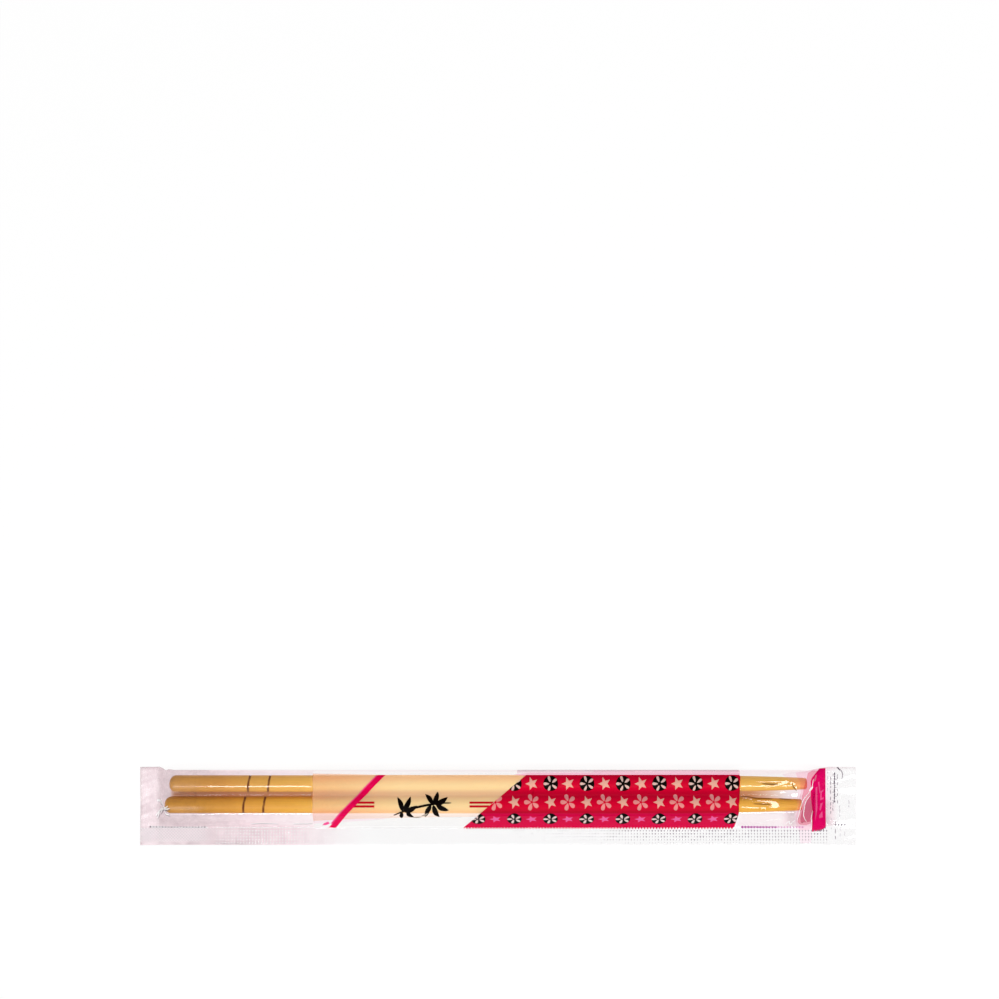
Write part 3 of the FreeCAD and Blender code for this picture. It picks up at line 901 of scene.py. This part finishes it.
def build_stick(stick, seed):
    """Turned bamboo: rounded head, two scorched grooves, taper to a cut tip"""
    length = stick.tip - stick.head
    turn = np.linspace(0, pi / 2, 10)
    head = HEAD_EDGE * (1 - np.cos(turn))
    stations = [(x, stick.radius - HEAD_EDGE + HEAD_EDGE * sin(a)) for x, a in zip(head, turn)]
    along = set(np.arange(3.5, length - 0.5, 2.4).round(3))
    for ring in RINGS:
        along = {x for x in along if abs(x - ring) > 0.9}
        along |= {ring + d for d in (-0.75, -0.42, -0.3, -0.16, 0, 0.16, 0.3, 0.42, 0.75)}
    for x in sorted(along):
        groove = sum(RING_DEPTH * max(0, 1 - abs(x - ring) / (RING_WIDTH / 2)) for ring in RINGS)
        stations.append((x, float(stick.radius_at(stick.head + x)) - groove))
    stations += [(length - TIP_EDGE, TIP_RADIUS), (length - 0.08, TIP_RADIUS - 0.12),
                 (length, TIP_RADIUS - TIP_EDGE), (length, TIP_RADIUS * 0.55)]
    sides = 72
    verts, faces = [], []
    # the stations lean as the rings do, from 18 to 38 mm
    for x, radius in stations:
        for k in range(sides):
            angle = 2 * pi * k / sides
            uneven = 1 + 0.004 * sin(3 * angle + seed) + 0.004 * waves(x, seed, 40, 4)
            r = min(radius * uneven, stick.radius)
            askew = RING_SLANT * r * cos(angle) * min(1, max(0, (x - 18) / 4), max(0, (38 - x) / 4))
            verts.append((x + askew, r * cos(angle), r * sin(angle)))
    for i in range(len(stations) - 1):
        for k in range(sides):
            a, b = i * sides + k, i * sides + (k + 1) % sides
            faces.append((a, b, b + sides, a + sides))
    for ring_start, x, flip in ((0, 0, True), ((len(stations) - 1) * sides, length, False)):
        centre = len(verts)
        verts.append((x, 0, 0))
        for k in range(sides):
            a, b = ring_start + k, ring_start + (k + 1) % sides
            faces.append((b, a, centre) if flip else (a, b, centre))
    name = stick.node.replace("chopstick", "bamboo_stick")
    return make_object(name, verts, faces, (stick.head * MM, stick.y * MM, stick.z * MM))


# ------------------------------ materials
class Tree:
    """Short way to wire the nodes of a material or of the world"""

    def __init__(self, owner):
        self.owner = owner
        owner.use_nodes = True
        self.nodes, self.links = owner.node_tree.nodes, owner.node_tree.links
        self.nodes.clear()

    def add(self, kind, inputs=None, **settings):
        node = self.nodes.new("ShaderNode" + kind)
        for name, value in settings.items():
            setattr(node, name, value)
        for key, value in (inputs or {}).items():
            socket = node.inputs[key]
            if isinstance(value, bpy.types.NodeSocket):
                self.links.new(value, socket)
            else:
                socket.default_value = (*value, 1) if socket.type == "RGBA" else value
        return node

    def out(self, kind, inputs=None, socket=0, **settings):
        return self.add(kind, inputs, **settings).outputs[socket]

    def math(self, operation, *values, clamp=False):
        return self.out("Math", dict(enumerate(values)), operation=operation, use_clamp=clamp)

    def times(self, *values):
        return self.math("MULTIPLY", *values)

    def mix(self, share, first, second):
        return self.out("Mix", {0: share, 6: first, 7: second}, 2, data_type="RGBA")

    def blend(self, share, first, second):
        return self.out("MixShader", {0: share, 1: first, 2: second})

    def remap(self, value, low, high, first=0, last=1, **settings):
        """From first at low to last at high, and no further"""
        return self.out("MapRange", {0: value, 1: low, 2: high, 3: first, 4: last}, **settings)

    def stretched(self, *scale):
        """Object coordinates in mm, scaled on each axis"""
        place = self.out("TexCoord", socket=3)
        return self.out("Mapping", {0: place, 3: tuple(1000 * s for s in scale)})

    def axis(self, number):
        """One object coordinate in mm: 0 along the packet, 1 across it"""
        return self.out("SeparateXYZ", {0: self.stretched(1, 1, 1)}, number)

    def noise(self, stretch, scale=1, detail=3, roughness=0.55):
        return self.out("TexNoise", {"Vector": self.stretched(*stretch), "Scale": scale,
                                     "Detail": detail, "Roughness": roughness})

    def gloss(self, roughness, strength, distance, height):
        """Mirror with a bumped surface"""
        bumped = self.out("Bump", {"Strength": strength, "Distance": distance, "Height": height})
        return self.out("BsdfGlossy", {"Color": WHITE, "Roughness": roughness, "Normal": bumped})

    def facing(self, power):
        """0 face on, 1 edge on"""
        return self.math("POWER", self.out("LayerWeight", {0: 0.5}, 1), power)

    def finish(self, shader):
        self.add("OutputMaterial", {0: shader})
        return self.owner


def dimmed(tone, *shares):
    """A darker tone: one share for all three channels, or one for each"""
    return [share * c for share, c in zip(shares * (3 // len(shares)), tone)]


WHITE = (1, 1, 1)
EVEN = (1, 1, 1)            # noise that is not stretched
HALF_DARK = (0.5, 0.5, 0.5)     # the shade's colour, as shares of the ink's own


def film_material(name, shine):
    m = Tree(bpy.data.materials.new(name))
    cloudy = m.remap(m.noise(EVEN, 0.3, 6, 0.75), 0.36, 0.64)
    crumpled = m.remap(m.noise((0.8, 0.45, 0.6), 1, 3, 0.6), 0.42, 0.7)
    # the film's tint with its painted shade, from the film's attribute
    tint_and_shade = m.out("Attribute", socket=2, attribute_name="tint_and_shade")
    pink = m.mix(cloudy, (0.945, 0.85, 0.88), (0.988, 0.91, 0.93))
    grey = m.mix(cloudy, (0.8, 0.72, 0.74), (0.92, 0.84, 0.86))
    tint = m.mix(m.math("ADD", tint_and_shade, 0, clamp=True), (0.999, 0.997, 0.998), pink)
    tint = m.mix(m.math("SUBTRACT", tint_and_shade, 1, clamp=True), tint, grey)
    tint = m.mix(m.times(m.facing(2), 0.5), tint, (0.93, 0.8, 0.83))
    clear = m.out("BsdfTransparent", {0: tint})
    haze = m.out("BsdfDiffuse", {0: (0.98, 0.96, 0.97)})
    ends = m.remap(m.math("ABSOLUTE", m.axis(0)), HALF_LENGTH - 9.5, HALF_LENGTH - 6.5)
    body = m.blend(m.times(m.times(ends, crumpled), 0.16), clear, haze)
    hazed = m.remap(m.axis(0), FRONT.head + 9, FRONT.head + 15, 0.34, 0.04)
    gloss = m.gloss(hazed, 0.2, 0.00005, m.noise(EVEN, 0.7))
    mirror = m.math("ADD", m.times(m.facing(4), 0.35), shine)
    return m.finish(m.blend(mirror, body, gloss))


def ink_material(name, filter_colour, pigment, cover, glow=0, depth=0, shadow=HALF_DARK, right=None):
    """Ink on film: part filter, part pigment, with the mottle of a gravure roller"""
    m = Tree(bpy.data.materials.new(name))
    mottle = m.remap(m.noise(EVEN, 1.3, 5, 0.7), 0.25, 0.75)
    broad = m.remap(m.noise(EVEN, 0.12), 0.3, 0.7)
    paint = m.mix(mottle, dimmed(pigment, 0.9), pigment)
    seen = m.mix(m.times(broad, 0.35), filter_colour, dimmed(filter_colour, 0.93))
    if right:                   # another filter, pigment and cover towards the tips
        along = m.remap(m.axis(0), -55, -30)
        seen = m.mix(along, seen, right[0])
        paint = m.mix(along, paint, right[1])
        cover = m.math("ADD", m.times(along, right[2] - cover), cover)
    seen = m.mix(m.times(m.facing(2), 0.5), seen, dimmed(filter_colour, 0.6))
    # painted shade: the ink darkens where the film's shade attribute says, as much as depth says
    shade = m.times(m.out("Attribute", socket=2, attribute_name="shade"), depth)
    paint = m.mix(shade, paint, dimmed(pigment, *shadow))
    seen = m.mix(shade, seen, dimmed(filter_colour, *shadow))
    solid = m.out("BsdfDiffuse", {0: paint})
    if glow:
        solid = m.blend(glow, solid, m.out("BsdfTranslucent", {0: pigment}))
    body = m.blend(cover, m.out("BsdfTransparent", {0: seen}), solid)
    sheen = m.gloss(0.38, 0.3, 0.00004, m.noise(EVEN, 2.2, 4))
    mirror = m.math("ADD", m.times(m.facing(5), 0.25), 0.002)
    return m.finish(m.blend(mirror, body, sheen))


# name, filter, pigment, cover, share that glows through, how much the shade darkens it, colour of
# the shade, and filter, pigment and cover towards the tips
INKS = {
    VEIL: ("frosted_ink", (1, 1, 0.998), (1, 0.995, 0.985), 0.12, 0.1),
    # painted glow of the bamboo through the frosted ink, and painted pink shade over the gap
    VEIL_WITH_PAINTED_GLOW: ("warm_frosted_ink", (1, 0.95, 0.88), (1, 0.8, 0.48), 0.38, 0, 0.5, (0.95, 0.4, 0.38),
                ((1, 0.97, 0.86), (1, 0.92, 0.55), 0.48)),
    # a painted warm halo, the coloured shadow of the front stick on the film below it
    PAINTED_WARM_HALO: ("warm_edged_ink", (0.96, 0.68, 0.62), (1, 0.7, 0.64), 0.12, 0, 0, HALF_DARK,
                ((1, 0.84, 0.75), (1, 0.88, 0.8), 0.12)),
    RED: ("red_ink", (0.68, 0, 0.13), (0.9, 0, 0.042), 0.62, 0, 1),
    STAR: ("unprinted_star", (1, 0.82, 0.78), (1, 0.6, 0.52), 0.6, 0.1, 0.6),
    FLOWER: ("unprinted_flower", (1, 0.58, 0.62), (1, 0.42, 0.44), 0.6, 0.1, 0.6),
    # painted pink: red light through the film on the floor under the star
    RED_LIT_STAR: ("unprinted_star_pink", (1, 0.16, 0.46), (0.98, 0.15, 0.42), 0.5, 0.1, 0.5),
    DARK_RED: ("line_red_ink", (0.7, 0, 0.05), (0.6, 0.006, 0.02), 0.75, 0, 1),
    RIBBON: ("ribbon_ink", (0.9, 0, 0.12), (0.84, 0, 0.09), 0.8, 0, 0.5),
    # painted coloured shadow of the ribbon
    RIBBON_PINK_SHADOW: ("ribbon_light_ink", (1, 0.12, 0.38), (1, 0.09, 0.33), 0.6, 0, 0.5),
    BLACK: ("black_ink", (0.006, 0.004, 0.003), (0.003, 0.0015, 0.001), 0.95, 0, 1),
    PETAL: ("pale_ink", (0.98, 0.76, 0.74), (0.96, 0.7, 0.66), 0.6, 0, 0.7),
    LILAC: ("lilac_ink", (0.8, 0.3, 0.62), (0.75, 0.28, 0.58), 0.5),
    GREY_INK: ("grey_ink", (0.5, 0.42, 0.34), (0.4, 0.34, 0.28), 0.6),
    BAND: ("band_ink", (0.85, 0, 0.16), (0.74, 0.001, 0.11), 0.7, 0, 0.3),
    # pale marks, and a painted highlight along a crease of the band
    BAND_MARK_AND_HIGHLIGHT: ("band_light_ink", (1, 0.12, 0.36), (0.86, 0.1, 0.27), 0.5, 0, 0.3),
    PURPLE: ("crimped_ink", (0.5, 0.04, 0.36), (0.42, 0.05, 0.32), 0.8),
    # painted pink halos: coloured shadow of the red and pink inks on the clear film
    FAINT_PINK_HALO: ("faintly_blushed_film", (1, 0.88, 0.93), (0.98, 0.86, 0.91), 0.06),
    PINK_HALO: ("blushed_film", (1, 0.74, 0.83), (0.98, 0.72, 0.81), 0.08),
    MID_PINK_HALO: ("pink_blushed_film", (0.92, 0.42, 0.52), (0.9, 0.42, 0.5), 0.12),
    DEEP_PINK_HALO: ("deep_blushed_film", (0.72, 0.17, 0.27), (0.7, 0.18, 0.28), 0.2),
    # painted coloured shadow of the red print near the fold
    PINK_FOLD_HALO: ("pink_edged_film", (1, 0.62, 0.76), (0.98, 0.6, 0.74), 0.12),
    FAINT_DOT: ("pressed_grey_dot", (0.7, 0.67, 0.71), (0.66, 0.63, 0.67), 0.2),
    PALE_DOT: ("pressed_dot", (1, 1, 1), (1, 1, 1), 0.8, 0.2),
    # burnt dots, and painted shade beside the sharpest folds
    GREY_BURN_AND_SHADE: ("burnt_dot", (0.42, 0.38, 0.42), (0.38, 0.34, 0.38), 0.3),
    DARK_DOT: ("burnt_line", (0.12, 0.09, 0.13), (0.12, 0.09, 0.13), 0.5),
    FOLD_SHADE: ("dark_side_of_fold", (0.5, 0.4, 0.26), (0.36, 0.26, 0.16), 0.2),
    # painted white highlights along sharp creases and on the crimp
    WHITE_HIGHLIGHT: ("sharp_crease", (1, 1, 1), (1, 1, 1), 0.85, 0.2),
}


def bamboo_material(name, pale, deep, dark):
    m = Tree(bpy.data.materials.new(name))
    broad = m.remap(m.noise((0.012, 0.5, 0.5)), 0.3, 0.7)
    fibre = m.remap(m.noise((0.05, 5, 5), 1, 5, 0.65), 0.3, 0.72)
    fine = m.noise((0.12, 14, 14), 1, 3, 0.6)
    flecks = m.remap(m.noise((0.3, 9, 9), 1, 2, 0.5), 0.66, 0.74)
    blotch = m.remap(m.noise((0.06, 0.25, 0.25), 1, 4), 0.45, 0.75)
    # painted light and shade along the stick: the middle is paler and the head deeper, with no sharp
    # edge between them
    paler = m.math("MINIMUM", m.remap(m.axis(0), 36, 80, interpolation_type="SMOOTHSTEP"),
                   m.remap(m.axis(0), 140, 172, 1, 0))
    deeper = m.remap(m.axis(0), 8, 46, 0.52, 0, interpolation_type="SMOOTHSTEP")
    tone = m.mix(broad, pale, deep)
    for share, over_tone in ((m.times(paler, 0.7), (0.98, 0.64, 0.24)),
                             (deeper, dimmed(deep, 0.62)),
                             (m.times(fibre, 0.34), dark),
                             (m.times(blotch, 0.15), dark),
                             (m.times(flecks, 0.45), (0.24, 0.11, 0.03))):
        tone = m.mix(share, tone, over_tone)

    place = m.add("SeparateXYZ", {0: m.out("TexCoord", socket=3)})
    along = m.math("SUBTRACT", place.outputs[0], m.times(place.outputs[1], RING_SLANT))
    uneven = m.times(m.math("SUBTRACT", m.noise((0.3, 0.9, 0.9), 1, 4), 0.5), 0.0006)
    along = m.math("ADD", along, uneven)
    rings = [m.remap(m.math("ABSOLUTE", m.math("SUBTRACT", along, ring * MM)), 0.0002, 0.00046, 1, 0)
             for ring in RINGS]
    patchy = m.remap(m.noise((0.5, 0.7, 0.7)), 0.3, 0.55)
    burnt = m.times(m.math("MAXIMUM", *rings), m.math("ADD", m.times(patchy, 0.28), 0.72))
    tone = m.mix(burnt, tone, (0.15, 0.036, 0.001))

    height = m.math("ADD", m.times(fine, 0.5), fibre)
    bumped = m.out("Bump", {"Strength": 0.45, "Distance": 0.00005, "Height": height})
    rough = m.math("MAXIMUM", m.math("ADD", m.times(fibre, 0.16), 0.4), m.times(burnt, 0.9))
    return m.finish(m.out("BsdfPrincipled", {"Base Color": tone, "Roughness": rough,
                                             "Normal": bumped, "Specular IOR Level": 0.42}))


# ------------------------------ the object
film = build_film()
film.data.materials.append(film_material("clear_film", 0.06))
for ink in sorted(INKS):
    film.data.materials.append(ink_material(*INKS[ink]))
film.data.materials.append(film_material("clear_film_back", 0.012))
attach(film, "root")
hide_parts("film_sleeve")

for stick, seed, tones in (
        (FRONT, 5, ((0.92, 0.53, 0.055), (0.87, 0.46, 0.04), (0.6, 0.27, 0.02))),
        (REAR, 8, ((0.92, 0.54, 0.1), (0.86, 0.47, 0.075), (0.58, 0.28, 0.035)))):
    wood = build_stick(stick, seed)
    wood.data.materials.append(bamboo_material(wood.name + "_bamboo", *tones))
    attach(wood, "root")
    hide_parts(stick.node)


# ------------------------------ floor, light, camera
# colour of the painted shade on the floor between the sticks
PAINTED_GAP_SHADE = (1, 0.56, 0.26)
FLOOR_SIZE = 3000           # from the middle to an edge


def shown_to_rays(m, shader, share, tone):
    """The surface shows this much of a plain tone to the camera and in reflections"""
    rays = m.add("LightPath")
    seen = m.math("MAXIMUM", rays.outputs["Is Camera Ray"], rays.outputs["Is Glossy Ray"])
    seen = m.math("MAXIMUM", seen, rays.outputs["Is Transmission Ray"])
    return m.blend(m.times(seen, share), shader, m.out("Emission", {0: tone, 1: 1}))


def build_floor():
    corners = [(x * FLOOR_SIZE, y * FLOOR_SIZE, 0) for x, y in ((-1, -1), (1, -1), (1, 1), (-1, 1))]
    floor = make_object("floor", corners, [(0, 1, 2, 3)])
    m = Tree(bpy.data.materials.new("floor_white"))
    paper = m.mix(m.noise((0.02, 0.02, 0.02)), (0.955, 0.95, 0.95), (0.97, 0.97, 0.97))
    # painted shade and warm bounce light on the floor between the sticks, where only they light it
    off_y = m.math("ABSOLUTE", m.math("SUBTRACT", m.axis(1), (FRONT.y + REAR.y) / 2))
    half_y = (REAR.y - FRONT.y) / 2
    outside = m.math("MAXIMUM", m.remap(off_y, half_y, half_y + 0.5),
                     m.remap(m.axis(0), REAR.head - 0.6, REAR.head + 0.8, 1, 0))
    outside = m.math("MAXIMUM", outside, m.remap(m.axis(0), 80, 92))
    open_floor = m.math("ADD", m.times(outside, 0.7), 0.2)
    matte = m.out("BsdfDiffuse", {0: m.mix(outside, PAINTED_GAP_SHADE, paper)})
    tone = m.mix(outside, PAINTED_GAP_SHADE, WHITE)
    floor.data.materials.append(m.finish(shown_to_rays(m, matte, open_floor, tone)))


def lamp(name, place, size, strength, reflected=True):
    """A rectangular lamp that looks at the middle of the packet; strength is its radiance"""
    light = bpy.data.lights.new(name, "AREA")
    light.shape = "RECTANGLE"
    light.size, light.size_y = size
    light.energy = strength * size[0] * size[1] * pi
    obj = bpy.data.objects.new(name, light)
    obj.location = place
    obj.rotation_euler = (-Vector(place)).to_track_quat("-Z", "Y").to_euler()
    obj.visible_glossy = reflected
    bpy.context.scene.collection.objects.link(obj)


build_floor()
lamp("key_strip", (0, -0.43, 0.9), (0.95, 0.24), 9.6)
lamp("overhead", (0.2, 0.22, 1), (1.4, 0.9), 1.3, reflected=False)

# dim overhead and bright round the horizon, so that level film stays clear and edges are light
studio = Tree(bpy.data.worlds.new("studio"))
upward = studio.out("SeparateXYZ", {0: studio.out("TexCoord", socket="Generated")}, "Z")
even = studio.out("Background", {0: WHITE, 1: studio.remap(upward, 0.25, 0.75, 0.65, 0.16)})
plain = studio.out("Background", {0: WHITE, 1: 1})
to_camera = studio.out("LightPath", socket="Is Camera Ray")
studio.add("OutputWorld", {0: studio.blend(to_camera, even, plain)})
scene = bpy.context.scene
scene.world = studio.owner

camera = bpy.data.cameras.new("camera")
camera.sensor_width = 36
camera.lens = 51.9
camera.clip_start, camera.clip_end = 0.01, 20
eye = bpy.data.objects.new("camera", camera)
eye.location = (0.0005, CAMERA_HEIGHT * MM * tan(VIEW_TILT), CAMERA_HEIGHT * MM)
scene.collection.objects.link(eye)
scene.camera = eye

scene.view_settings.view_transform = "Standard"
scene.cycles.transparent_max_bounces = 24
